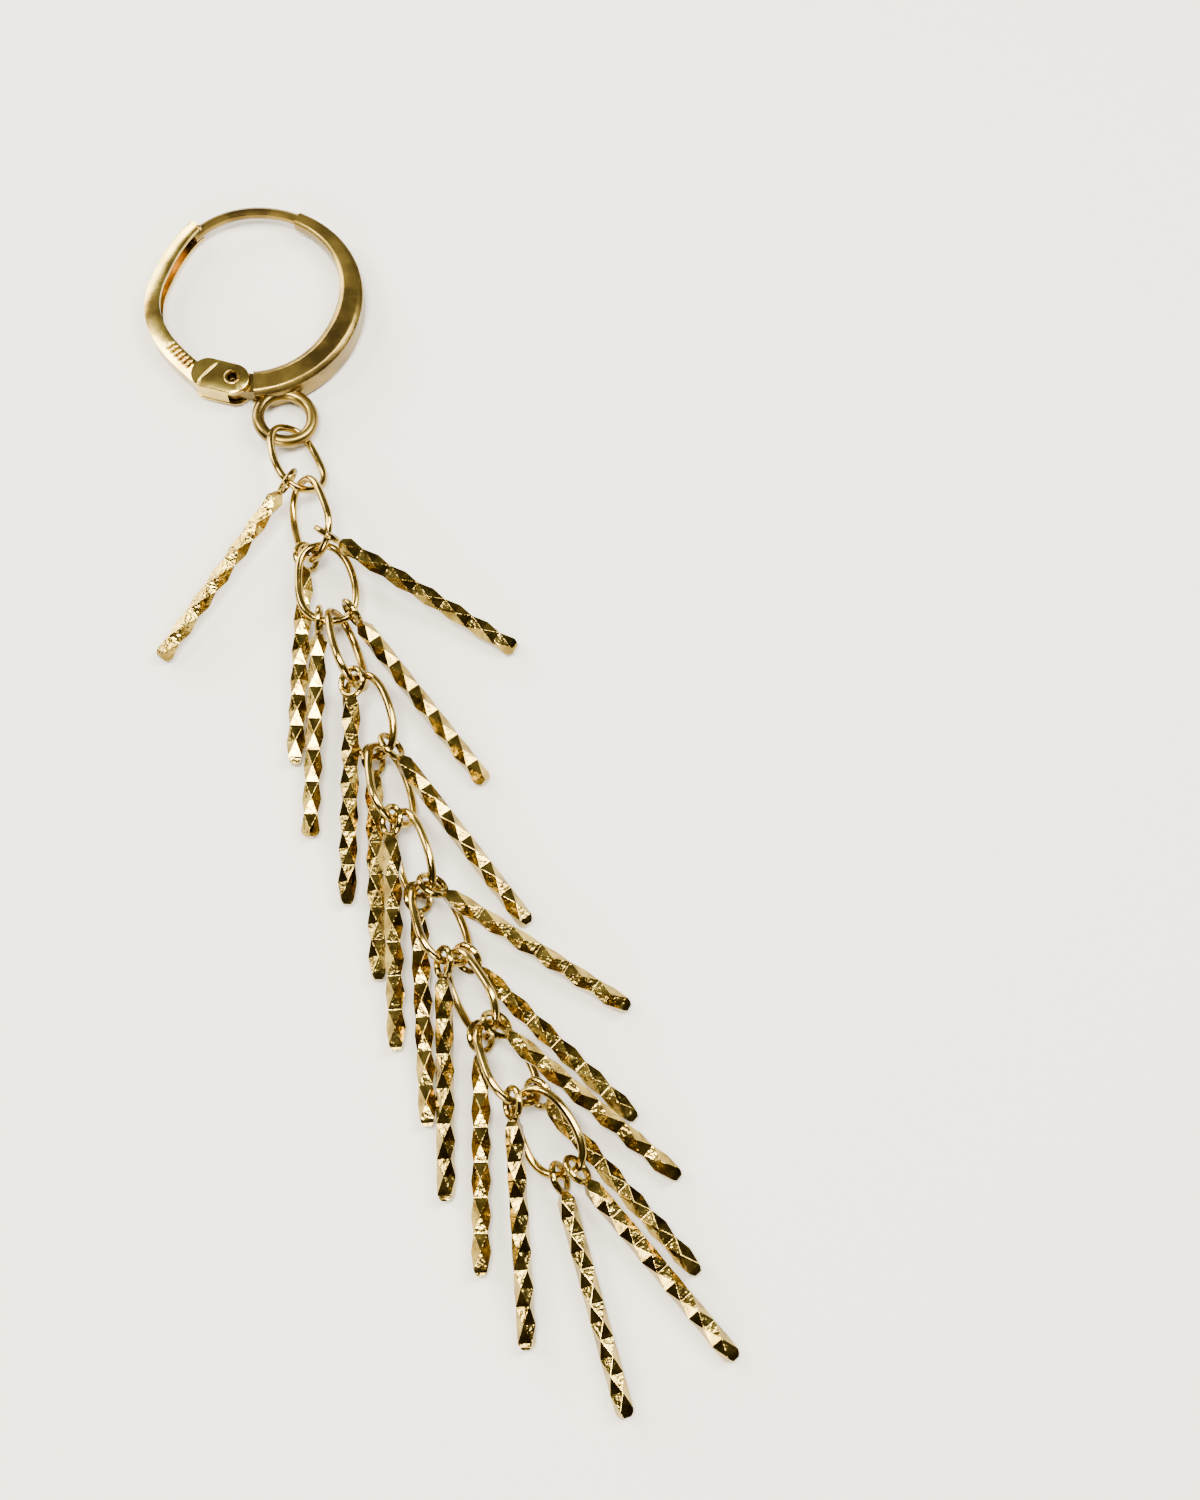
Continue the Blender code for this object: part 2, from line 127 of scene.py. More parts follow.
def merge_slivers(piece, apart=0.002 * MM, flat=0.001 * MM):
    """Merges the points that a cut has left almost together, and drops faces that are then flat."""
    edit_all(piece)
    bpy.ops.mesh.remove_doubles(threshold=apart)
    bpy.ops.mesh.select_all(action="SELECT")
    bpy.ops.mesh.dissolve_degenerate(threshold=flat)
    close_edit()


def fuse(piece, others, operation="UNION"):
    """Solders other pieces on, or cuts them out, and takes them away."""
    for other in others:
        finish_with(piece, "BOOLEAN", object=other, operation=operation, solver="EXACT")
        bpy.data.objects.remove(other, do_unlink=True)
        merge_slivers(piece)


def draw_wire(name, thickness, steps):
    """Makes the curve that was just shaped a closed mesh of round wire."""
    curve = bpy.context.object
    curve.data.bevel_depth = thickness / 2
    curve.data.bevel_resolution = 3
    curve.data.resolution_u = steps
    curve.data.use_fill_caps = True
    work_on(curve)
    bpy.ops.object.convert(target="MESH")
    wire = take_primitive(name)
    edit_all(wire)
    bpy.ops.mesh.remove_doubles(threshold=TOUCH)
    close_edit()
    return wire


def crescent_size(angle):
    """Depth and width of the crescent's section at an angle, with a soft change between the two."""
    share = min(max((CRESCENT_TOP - angle) / (CRESCENT_TOP - CRESCENT_FULL), 0.0), 1.0)
    share = share * share * (3.0 - 2.0 * share)
    return Section(*(small + (large - small) * share
                     for small, large in zip(CRESCENT_SMALL, CRESCENT_LARGE)))


# The section starts 1 mm square, its outer side on the X axis, and is stretched to its depth and
# width. It is bevelled while wide, so that the bevels take less of its width than of its depth
bpy.ops.mesh.primitive_plane_add(size=MM, location=(0.0, MM / 2, 0.0),
                                 rotation=(0.0, math.pi / 2, 0.0))
hoop = take_primitive("hoop_casting")
edit_all(hoop)
bpy.ops.transform.resize(value=(1.0, 1.0, BEVEL_SLOPE), center_override=(0.0, 0.0, 0.0))
bpy.ops.mesh.bevel(offset=BEVEL_SHARE * MM, segments=1, affect="VERTICES")
bpy.ops.mesh.select_all(action="SELECT")
bpy.ops.mesh.bevel(offset=CORNER_SHARE * MM, segments=3, affect="VERTICES")
bpy.ops.mesh.select_all(action="SELECT")
size = crescent_size(CRESCENT_START)
bpy.ops.transform.resize(value=(1.0, size.depth / MM, size.width / MM / BEVEL_SLOPE),
                         center_override=(0.0, 0.0, 0.0))
run = 0.0
for angle in np.linspace(CRESCENT_START, CRESCENT_TOP, CRESCENT_STATIONS)[1:]:
    along = HOOP_RADIUS * math.radians(angle - CRESCENT_START)
    bpy.ops.mesh.extrude_region_move(TRANSFORM_OT_translate={"value": (along - run, 0.0, 0.0)})
    new_size = crescent_size(angle)
    bpy.ops.transform.resize(
        value=(1.0, new_size.depth / size.depth, new_size.width / size.width),
        center_override=(along, 0.0, 0.0))
    run, size = along, new_size
close_edit()
finish_with(hoop, "SIMPLE_DEFORM", deform_method="BEND", deform_axis="Z", angle=run / HOOP_RADIUS)
start_turn = math.radians(CRESCENT_START + 90.0)
outer_side = Matrix.Rotation(start_turn, 3, "Z") @ Vector((0.0, -HOOP_RADIUS, 0.0))
hoop.location = HOOP_CENTRE + outer_side
hoop.rotation_euler = (0.0, 0.0, start_turn)
bpy.ops.object.transform_apply(location=True, rotation=True, scale=True)

# The ear wire comes out of the crescent's thin end, and its free end dips towards the hoop's middle
bpy.ops.curve.primitive_bezier_curve_add(radius=MM, location=(0.0, 0.0, 0.0))
wire_reach = HOOP_RADIUS - EAR_WIRE / 2
handle = 4 / 3 * math.tan(math.radians(WIRE_END - WIRE_START) / 4) * wire_reach
ends = bpy.context.object.data.splines[0].bezier_points
for point, angle, dip, turn in ((ends[0], WIRE_START, 0.0, 0.0),
                                (ends[1], WIRE_END, WIRE_DIP, WIRE_DIP_TURN)):
    along = around_hoop(angle + 90.0 + turn, handle) - HOOP_CENTRE
    point.handle_left_type = "FREE"
    point.handle_right_type = "FREE"
    point.co = around_hoop(angle, wire_reach - dip)
    point.handle_right = point.co + along
    point.handle_left = point.co - along
ear_wire = draw_wire("ear_wire", EAR_WIRE, 36)


# Fixed loop: a ring of thick brass wire, closed and soldered under the crescent a little askew,
# before plating. The chain hangs on it. Solder fills the two corners where it meets the crescent.
LOOP_ANGLE = -73.0
LOOP_RADIUS = 1.66 * MM
LOOP_WIRE = 0.78 * MM
LOOP_SEAT = 0.63 * MM
LOOP_ASKEW = 10.0
SOLDER_SPREAD = 10.0
SOLDER_SIZE = (0.24 * MM, 0.46 * MM, 0.32 * MM)
SOLDER_SINK = 0.08 * MM

loop_centre = around_hoop(LOOP_ANGLE, HOOP_RADIUS + LOOP_RADIUS + LOOP_WIRE / 2 - LOOP_SEAT)
loop_axis = around_hoop(LOOP_ANGLE, 1.0) - HOOP_CENTRE
bpy.ops.mesh.primitive_torus_add(
    major_radius=LOOP_RADIUS, minor_radius=LOOP_WIRE / 2, major_segments=72, minor_segments=24,
    location=loop_centre,
    rotation=Matrix.Rotation(math.radians(-LOOP_ASKEW), 3, loop_axis).to_euler())
fixed_loop = take_primitive("fixed_loop")
solder = []
for angle in (LOOP_ANGLE - SOLDER_SPREAD, LOOP_ANGLE + SOLDER_SPREAD):
    bpy.ops.mesh.primitive_uv_sphere_add(
        segments=24, ring_count=16, radius=1.0, scale=SOLDER_SIZE,
        location=around_hoop(angle, HOOP_RADIUS - SOLDER_SINK),
        rotation=(0.0, 0.0, math.radians(angle)))
    solder.append(take_primitive("solder"))


# Hinge tongue: a flat lug on the crescent's lower end, with a round knuckle that stands between the
# lever's two cheeks. It is part of the casting, filed flat, and drilled for the rivet.
PIVOT_ANGLE = -98.0
PIVOT_INSET = 1.2 * MM
TONGUE_RADIUS = 0.65 * MM
TONGUE_THICKNESS = 0.90 * MM
TONGUE_ROOT_TURN = 8.0
KNUCKLE_RADIUS = 0.76 * MM
KNUCKLE_STEP = 0.02 * MM
BORE_RADIUS = 0.40 * MM
DRILL_LENGTH = 4.0 * MM

PIVOT = around_hoop(PIVOT_ANGLE, HOOP_RADIUS - PIVOT_INSET)


def stadium_plate(name, start, end, radius, thickness):
    """A flat plate with two round ends: a disc whose one half is pulled out."""
    bpy.ops.mesh.primitive_cylinder_add(vertices=64, radius=radius, depth=thickness, location=start)
    plate = take_primitive(name)
    reach = end - start
    edit_all(plate)
    select_points(plate, lambda place: (place - start).dot(reach.normalized()) > TOUCH)
    bpy.ops.transform.translate(value=reach)
    close_edit()
    return plate


def bore(piece):
    """Drills the hole for the rivet."""
    bpy.ops.mesh.primitive_cylinder_add(vertices=48, radius=BORE_RADIUS, depth=DRILL_LENGTH,
                                        location=PIVOT)
    fuse(piece, [take_primitive("drill")], "DIFFERENCE")


tongue_root = around_hoop(CRESCENT_START + TONGUE_ROOT_TURN, HOOP_RADIUS - CRESCENT_LARGE.depth / 2)
tongue = stadium_plate("tongue", PIVOT, tongue_root, TONGUE_RADIUS, TONGUE_THICKNESS)
bpy.ops.mesh.primitive_cylinder_add(vertices=64, radius=KNUCKLE_RADIUS,
                                    depth=TONGUE_THICKNESS - KNUCKLE_STEP, location=PIVOT)
knuckle = take_primitive("knuckle")
fuse(hoop, [ear_wire, tongue, knuckle, fixed_loop, *solder])
bore(hoop)


def linear(code):
    """An sRGB hex colour as the linear values that a shader takes."""
    channels = [int(code[place:place + 2], 16) / 255 for place in (1, 3, 5)]
    return (*(c / 12.92 if c <= 0.04045 else ((c + 0.055) / 1.055) ** 2.4 for c in channels), 1.0)


def add_node(material, kind, settings=None, **links):
    """One node, its settings by property or socket name, and its links as socket=(node, output)."""
    node = material.node_tree.nodes.new(kind)
    for name, value in (settings or {}).items():
        if name in node.inputs:
            node.inputs[name].default_value = value
        else:
            setattr(node, name, value)
    for socket, (source, output) in links.items():
        name = socket.replace("_", " ")
        material.node_tree.links.new(source.outputs[output], node.inputs[name])
    return node


def add_ramp(material, source, output, low, high):
    """A ramp between two colours, each given as (position, hex colour)."""
    ramp = add_node(material, "ShaderNodeValToRGB", Fac=(source, output))
    for element, (position, colour) in zip(ramp.color_ramp.elements, (low, high)):
        element.position = position
        element.color = linear(colour)
    return ramp


def plated_gold(name, pale, deep, roughness, blotch, ripple, relief):
    """Gold plate on brass: two golds in soft blotches, uneven gloss and a fine ripple.

    The blotches and the ripple are given by their size across, and the relief by its depth."""
    material = bpy.data.materials.new(name)
    material.use_nodes = True
    material.node_tree.nodes.clear()
    place = add_node(material, "ShaderNodeTexCoord")
    blotches = add_node(material, "ShaderNodeTexNoise", {"Scale": 1.0 / blotch, "Detail": 3.0},
                        Vector=(place, "Object"))
    colours = add_ramp(material, blotches, "Fac", (0.35, deep), (0.62, pale))
    gloss = add_node(material, "ShaderNodeMapRange",
                     {"To Min": roughness[0], "To Max": roughness[1]}, Value=(blotches, "Fac"))
    waves = add_node(material, "ShaderNodeTexNoise", {"Scale": 1.0 / ripple, "Detail": 2.0},
                     Vector=(place, "Object"))
    bump = add_node(material, "ShaderNodeBump", {"Distance": relief, "Strength": 1.0},
                    Height=(waves, "Fac"))
    shader = add_node(material, "ShaderNodeBsdfPrincipled", {"Metallic": 1.0},
                      Base_Color=(colours, "Color"), Roughness=(gloss, "Result"),
                      Normal=(bump, "Normal"))
    add_node(material, "ShaderNodeOutputMaterial", Surface=(shader, "BSDF"))
    return material


def dress(piece, material, slot, body, *nodes, smooth=35.0, broad_flats=False):
    """Gives a finished piece its material, its shading, its body and the solids it stands for.

    Faces that meet at less than the smooth angle, in degrees, are shaded as one."""
    piece.data.materials.clear()
    piece.data.materials.append(material)
    work_on(piece)
    bpy.ops.object.shade_smooth_by_angle(angle=math.radians(smooth))
    if broad_flats:
        finish_with(piece, "WEIGHTED_NORMAL", keep_sharp=True, weight=80)
    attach(piece, body)
    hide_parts(*nodes)


# Tumbled gold plate over a casting: the faint orange peel of a cast skin, about 0.5 mm across,
# breaks up what it mirrors, and the plate is a little thin and brown in patches
cast_gold = plated_gold("tumbled_gold_plate_on_cast_brass", pale="#8F783A", deep="#63512A",
                        roughness=(0.20, 0.36), blotch=2.4 * MM, ripple=0.5 * MM,
                        relief=0.012 * MM)
dress(hoop, cast_gold, "gold_hoop", "earring", "ear_hoop", broad_flats=True)


# Lever: a stamped brass channel, curved to follow the ear, whose tip closes over the end of the ear
# wire. Two cheeks at its foot straddle the tongue, with a row of grip ribs beside them.
ARM_DEPTHS = (1.10 * MM, 0.90 * MM)
ARM_WIDTH = 1.46 * MM
ARM_WEB = 0.22 * MM
ARM_EDGE = 0.06 * MM
GROOVE_WIDTH = 0.95 * MM
Slope = namedtuple("Slope", "depth_share width_share")
ARM_SLOPE = Slope(0.72, 0.19)
Lip = namedtuple("Lip", "growth length")
TIP_LIP = Lip(1.08, 0.16 * MM)
CHEEK_RADIUS = 1.05 * MM
CHEEK_THICKNESS = 0.38 * MM
CHEEK_SPAN = 1.90 * MM
CHEEK_LENGTH = 1.6 * MM
CHEEK_TURN = 164.8
CHEEK_EDGE = 0.10 * MM
DOME_INSET = 0.34 * MM
DOME_RISE = 0.12 * MM
STEP_REACH = 1.40 * MM
STEP_TURN = 139.5
STEP_DEPTH = 0.17 * MM
BEAD_SIZE = (0.30 * MM, 1.90 * MM, 0.30 * MM)
BEAD_PROUD = 0.07 * MM
FOLD_INSET = 0.04 * MM
FOLD_WALL = 0.20 * MM
FOLD_END = 0.06 * MM
FOLD_TOP = 0.31 * MM
BLOCK_REACH = 6.0 * MM
RIB_COUNT = 6
RIB_PITCH = 0.36 * MM
RIB_SIZE = (0.84 * MM, 0.34 * MM, 0.44 * MM)
RIB_PROUD = 0.15 * MM
RIB_INNER_SHARE = 0.46

# The arm's middle line from the cheeks to the tip, in shares of the hoop's radius from its centre
Station = namedtuple("Station", "angle reach")
ARM_STATIONS = (
    Station(-116.5, 0.880), Station(-136.0, 0.845), Station(-153.0, 0.860),
    Station(-170.0, 0.882), Station(-186.0, 0.878), Station(-205.0, 0.868),
    Station(-219.0, 0.893), Station(-229.0, 0.926), Station(-234.0, 0.942),
)
STEPS_PER_STATION = 6


def arm_line():
    """The arm's middle line, a Catmull-Rom curve through its stations."""
    knots = [around_hoop(station.angle, station.reach * HOOP_RADIUS) for station in ARM_STATIONS]
    knots = [2 * knots[0] - knots[1], *knots, 2 * knots[-1] - knots[-2]]
    line = []
    for before, start, end, after in zip(knots, knots[1:], knots[2:], knots[3:]):
        for step in range(STEPS_PER_STATION):
            share = step / STEPS_PER_STATION
            line.append(0.5 * (2 * start + (end - before) * share
                               + (2 * before - 5 * start + 4 * end - after) * share ** 2
                               + (3 * start - before - 3 * end + after) * share ** 3))
    return line + [knots[-2]]


def heading_at(line, index):
    """The direction of the line at a point, as an angle about Z."""
    ahead = line[min(index + 1, len(line) - 1)]
    behind = line[max(index - 1, 0)]
    return math.atan2(ahead.y - behind.y, ahead.x - behind.x)


def inward_at(line, index):
    """The direction across the line that points towards the hoop's middle."""
    turned = heading_at(line, index)
    across = Vector((math.sin(turned), -math.cos(turned), 0.0))
    return across if across.dot(HOOP_CENTRE - line[index]) > 0.0 else -across


def bar_along(name, line, depths, width, slope=None, lip=None):
    """A bar along a flat line: its end face is drawn out and turned step by step.

    Its sides can slope down towards the hoop's outer side, over a share of its depth and by a share
    of its width, and its far end can have a lip."""
    facing = heading_at(line, 0)
    inward = inward_at(line, 0)
    bpy.ops.mesh.primitive_plane_add(size=MM, location=(0.0, 0.0, 0.0))
    bar = bpy.context.object
    edit_all(bar)
    if slope:
        stretch = slope.depth_share / slope.width_share
        bpy.ops.transform.resize(value=(1.0, stretch, 1.0))
        select_points(bar, lambda place: place.x < 0.0)
        bpy.ops.mesh.bevel(offset=slope.depth_share * MM, segments=1, affect="VERTICES")
        bpy.ops.mesh.select_all(action="SELECT")
        bpy.ops.transform.resize(value=(1.0, 1.0 / stretch, 1.0), center_override=(0.0, 0.0, 0.0))
    bpy.ops.object.mode_set(mode="OBJECT")
    section = Matrix((inward * depths[0] / MM, (0.0, 0.0, width / MM),
                      inward.cross((0.0, 0.0, 1.0)))).transposed().to_4x4()
    bar.matrix_world = Matrix.Translation(line[0]) @ section
    bar = take_primitive(name)
    edit_all(bar)
    for index in range(1, len(line)):
        bpy.ops.mesh.extrude_region_move(
            TRANSFORM_OT_translate={"value": line[index] - line[index - 1]})
        turned = heading_at(line, index)
        turn = (turned - facing + math.pi) % math.tau - math.pi
        bpy.ops.transform.rotate(value=-turn, orient_axis="Z", center_override=line[index])
        facing = turned
        before, now = (depths[0] + (depths[1] - depths[0]) * step / (len(line) - 1)
                       for step in (index - 1, index))
        bpy.ops.transform.resize(value=(now / before, now / before, 1.0),
                                 center_override=line[index])
    if lip:
        bpy.ops.mesh.extrude_region_move(TRANSFORM_OT_translate={"value": (0.0, 0.0, 0.0)})
        bpy.ops.transform.resize(value=(lip.growth, lip.growth, lip.growth),
                                 center_override=line[-1])
        bpy.ops.mesh.extrude_region_move(
            TRANSFORM_OT_translate={"value": (line[-1] - line[-2]).normalized() * lip.length})
    close_edit()
    return bar


line = arm_line()
lever = bar_along("lever_arm", line, ARM_DEPTHS, ARM_WIDTH, ARM_SLOPE, TIP_LIP)

# The channel is cut from the arm's inner side, and runs out of both its ends
inward = [point + inward_at(line, index) * ARM_WEB for index, point in enumerate(line)]
inward = [2 * inward[0] - inward[1], *inward, inward[-1] + 3 * (inward[-1] - inward[-2])]
channel = bar_along("channel", inward, ARM_DEPTHS, GROOVE_WIDTH)
finish_with(lever, "BOOLEAN", object=channel, operation="DIFFERENCE", solver="EXACT", use_self=True)
bpy.data.objects.remove(channel, do_unlink=True)
merge_slivers(lever)
finish_with(lever, "BEVEL", width=ARM_EDGE, segments=3, limit_method="ANGLE", angle_limit=0.9)
merge_slivers(lever)


def cutting_block(place, direction, low, high):
    """A block that starts at a place and reaches away in a flat direction, between two heights."""
    bpy.ops.mesh.primitive_cube_add(
        size=1.0, scale=(BLOCK_REACH, BLOCK_REACH, high - low),
        location=place + direction * BLOCK_REACH / 2 + Vector((0.0, 0.0, (low + high) / 2)),
        rotation=(0.0, 0.0, math.atan2(direction.y, direction.x)))
    return take_primitive("cutting_block")


# Each cheek is a pillowed plate with a raised bead aslant across it, and is lower beyond the bead
arm_side = around_hoop(CHEEK_TURN, 1.0) - HOOP_CENTRE
foot = PIVOT + arm_side * CHEEK_LENGTH
step_side = around_hoop(STEP_TURN, 1.0) - HOOP_CENTRE
step_line = Vector((-step_side.y, step_side.x, 0.0))
step_start = PIVOT + step_side * STEP_REACH
bead_middle = step_start + step_line * (foot - PIVOT).dot(step_line)
plate_thickness = CHEEK_THICKNESS - DOME_RISE
plate_top = CHEEK_SPAN / 2 - DOME_RISE
fittings = []
for side in (-1.0, 1.0):
    lift = Vector((0.0, 0.0, side * (CHEEK_SPAN - CHEEK_THICKNESS - DOME_RISE) / 2))
    cheek = stadium_plate("cheek", PIVOT + lift, foot + lift, CHEEK_RADIUS, plate_thickness)
    edit_all(cheek)
    select_points(cheek, lambda place: (place - PIVOT - lift).z * side > 0.0)
    bpy.ops.mesh.bevel(offset=CHEEK_EDGE, segments=4, affect="EDGES")
    select_points(cheek, lambda place: (place - PIVOT).z * side > plate_top - TOUCH)
    bpy.ops.mesh.inset(thickness=DOME_INSET, depth=DOME_RISE)
    close_edit()
    heights = sorted((side * (CHEEK_SPAN / 2 - STEP_DEPTH), side * CHEEK_SPAN))
    fuse(cheek, [cutting_block(step_start, step_side, *heights)], "DIFFERENCE")
    height = side * (CHEEK_SPAN / 2 + BEAD_PROUD - BEAD_SIZE[2] / 2)
    bpy.ops.mesh.primitive_uv_sphere_add(
        segments=32, ring_count=20, radius=0.5, location=bead_middle + Vector((0.0, 0.0, height)),
        rotation=(0.0, 0.0, math.atan2(step_side.y, step_side.x)), scale=BEAD_SIZE)
    fittings += [cheek, take_primitive("bead")]

# The sheet folds round below the two cheeks and joins them, and stops short of the tongue
fold_radius = CHEEK_RADIUS - FOLD_INSET
fold = stadium_plate("fold", PIVOT, foot, fold_radius, CHEEK_SPAN - CHEEK_THICKNESS)
upward = Vector((arm_side.y, -arm_side.x, 0.0))
fuse(fold, [
    stadium_plate("hollow", PIVOT, foot, fold_radius - FOLD_WALL, 2 * CHEEK_SPAN),
    cutting_block(PIVOT - upward * FOLD_TOP, upward, -CHEEK_SPAN, CHEEK_SPAN),
    cutting_block(PIVOT + arm_side * FOLD_END, -arm_side, -CHEEK_SPAN, CHEEK_SPAN),
], "DIFFERENCE")
fittings.append(fold)

# The ribs are rolled up across the inner part of the arm's two flat sides, like a row of beads
travelled = 0.0
ribs_made = 0
rib_run = CHEEK_LENGTH / 2 + RIB_PITCH
for index in range(1, len(line)):
    step = line[index] - line[index - 1]
    travelled += step.length
    while ribs_made < RIB_COUNT and travelled > rib_run:
        inner = inward_at(line, index)
        spot = (line[index] - step.normalized() * (travelled - rib_run)
                + inner * (ARM_DEPTHS[0] / 2 - RIB_SIZE[0] * RIB_INNER_SHARE))
        for side in (-1.0, 1.0):
            height = side * (ARM_WIDTH / 2 + RIB_PROUD - RIB_SIZE[2] / 2)
            bpy.ops.mesh.primitive_uv_sphere_add(
                segments=24, ring_count=16, radius=0.5, location=spot + Vector((0.0, 0.0, height)),
                rotation=(0.0, 0.0, math.atan2(inner.y, inner.x)), scale=RIB_SIZE)
            fittings.append(take_primitive("rib"))
        ribs_made += 1
        rib_run += RIB_PITCH
fuse(lever, fittings)
bore(lever)

# Bright rolled gold plate on stamped sheet: smooth and even, with long shallow waves from the press
stamped_gold = plated_gold("bright_gold_plate_on_stamped_brass", pale="#D2B962", deep="#957B3E",
                           roughness=(0.12, 0.24), blotch=1.8 * MM, ripple=0.9 * MM,
                           relief=0.010 * MM)
dress(lever, stamped_gold, "gold_lever", "lever_arm", "lever", broad_flats=True)


# Rivet: a brass pin through both cheeks and the tongue. Its ends are set with a round punch, which
# leaves a dimple with a bright raised rim.
RIVET_RADIUS = 0.30 * MM
RIVET_PROUD = 0.01 * MM
RIVET_END = CHEEK_SPAN / 2 + RIVET_PROUD

# The punched end from its edge to its middle, in millimetres: rise is the height above the end
Ring = namedtuple("Ring", "rise radius")
RIVET_HEAD = (
    Ring(0.00, 0.46), Ring(0.03, 0.50), Ring(0.07, 0.48), Ring(0.09, 0.43), Ring(0.08, 0.38),
    Ring(0.00, 0.33), Ring(-0.12, 0.30), Ring(-0.28, 0.27), Ring(-0.38, 0.20), Ring(-0.42, 0.10),
)
# Painted shade in the dimple: full below the first height, none above the second, at this value
DIMPLE_SHADE_FULL = RIVET_END - 0.10 * MM
DIMPLE_SHADE_NONE = RIVET_END + 0.05 * MM
DIMPLE_SHADE_VALUE = 0.10

bpy.ops.mesh.primitive_cylinder_add(vertices=48, radius=RIVET_RADIUS, depth=2 * RIVET_END,
                                    location=PIVOT)
rivet = take_primitive("hinge_rivet")
for side in (-1.0, 1.0):
    edit_all(rivet)
    select_points(rivet, lambda place: (place.z - PIVOT.z) * side > 0.0)
    last = Ring(0.0, RIVET_RADIUS / MM)
    for ring in RIVET_HEAD:
        bpy.ops.mesh.extrude_region_move(
            TRANSFORM_OT_translate={"value": (0.0, 0.0, side * (ring.rise - last.rise) * MM)})
        bpy.ops.transform.resize(
            value=(ring.radius / last.radius, ring.radius / last.radius, 1.0),
            center_override=PIVOT)
        last = ring
    close_edit()

# Gold plate over brass, with painted shade darkening the punched dimple below the rim
punched_gold = plated_gold("punched_gold_plate_on_brass", pale="#BF9E56", deep="#7A5E2C",
                           roughness=(0.14, 0.28), blotch=0.8 * MM, ripple=0.3 * MM,
                           relief=0.006 * MM)
base_colour = punched_gold.node_tree.nodes["Principled BSDF"].inputs["Base Color"]
plate_colour = base_colour.links[0].from_node
own_place = add_node(punched_gold, "ShaderNodeTexCoord")
own_axes = add_node(punched_gold, "ShaderNodeSeparateXYZ", Vector=(own_place, "Object"))
above = add_node(punched_gold, "ShaderNodeMath", {"operation": "SUBTRACT"}, Value=(own_axes, "Z"))
above.inputs[1].default_value = PIVOT.z
off_middle = add_node(punched_gold, "ShaderNodeMath", {"operation": "ABSOLUTE"},
                      Value=(above, "Value"))
# Painted shade: the plate colour is darkened in the dimple, below the rim
painted_dimple_shade = add_node(punched_gold, "ShaderNodeMapRange",
                {"From Min": DIMPLE_SHADE_FULL, "From Max": DIMPLE_SHADE_NONE, "To Min": DIMPLE_SHADE_VALUE},
                Value=(off_middle, "Value"))
shaded_colour = add_node(punched_gold, "ShaderNodeHueSaturation", Color=(plate_colour, "Color"),
                     Value=(painted_dimple_shade, "Result"))
punched_gold.node_tree.links.new(shaded_colour.outputs["Color"], base_colour)
dress(rivet, punched_gold, "gold_rivet", "earring", "hinge_pin")


# Links: ovals of half-hard brass wire, each closed through the next and plated as a chain. They are
# copies of one link, laid where the frame's links lie.
LINK_HALF_WIDTH = 1.66 * MM
LINK_HALF_LENGTH = 2.51 * MM
LINK_WIRE = 0.48 * MM
LINK_ROUNDING = 0.64


def corners_of(node):
    """The corners of a solid in the frame, each once."""
    corners = np.array([point.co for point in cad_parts[node].data.vertices], float)
    return np.unique(corners.round(7), axis=0)


def main_axes(corners):
    """The middle of a set of points, and their longest, middle and shortest directions."""
    middle = corners.mean(axis=0)
    directions = np.linalg.svd(corners - middle, full_matrices=False)[2]
    return Vector(middle), *(Vector(direction) for direction in directions)


def lay_copy(pattern, name, middle, across, up):
    """A copy of a piece with its own mesh, moved so that its X and Y lie along two directions."""
    matrix = Matrix((across, up, across.cross(up))).transposed().to_4x4()
    matrix.translation = middle
    copy = pattern.copy()
    copy.data = pattern.data.copy()
    copy.name = name
    copy.data.name = name
    bpy.context.scene.collection.objects.link(copy)
    copy.data.transform(matrix)
    return copy


bpy.ops.curve.primitive_bezier_circle_add(radius=MM, location=(0.0, 0.0, 0.0))
for point in bpy.context.object.data.splines[0].bezier_points:
    point.handle_left_type = "FREE"
    point.handle_right_type = "FREE"
    place = point.co / MM
    along = (point.handle_right - point.co).normalized()
    handle = LINK_HALF_LENGTH if abs(along.y) > abs(along.x) else LINK_HALF_WIDTH
    point.co = (place.x * LINK_HALF_WIDTH, place.y * LINK_HALF_LENGTH, 0.0)
    point.handle_right = point.co + along * handle * LINK_ROUNDING
    point.handle_left = point.co - along * handle * LINK_ROUNDING
link_pattern = draw_wire("link_pattern", LINK_WIRE, 14)

# Bright gold plate on drawn wire: a near mirror, with faint draw marks that are coarsened to show
wire_gold = plated_gold("bright_gold_plate_on_drawn_wire", pale="#BFA556", deep="#866E34",
                        roughness=(0.08, 0.20), blotch=1.5 * MM, ripple=0.5 * MM,
                        relief=0.006 * MM)
link_nodes = sorted(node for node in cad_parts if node.startswith("link_"))
for node in link_nodes:
    middle, along, across, _ = main_axes(corners_of(node))
    link = lay_copy(link_pattern, "wire_" + node, middle, across, along)
    dress(link, wire_gold, "gold_wire", "earring", node, smooth=60.0)
bpy.data.objects.remove(link_pattern, do_unlink=True)


# Stick drops: brass bars cut all round with bright triangular facets, each with a wire eye that
# hangs on a link. They are copies of one drop, laid where the frame's drops lie.
DROP_LENGTH = 13.0 * MM
DROP_WIDTH = 1.10 * MM
DROP_NECK = 0.50 * MM
DROP_TIP = 0.60 * MM
SHOULDER = 0.45 * MM
TIP_TAPER = 0.35 * MM
TIP_BREAK = 0.55
TIP_BREAK_WIDTH = 0.84
FACET_PITCH = 0.95 * MM
EYE_RADIUS = 0.81 * MM
EYE_WIRE = 0.38 * MM
CUT_EDGE = 0.008 * MM
Cut = namedtuple("Cut", "advance growth turn")

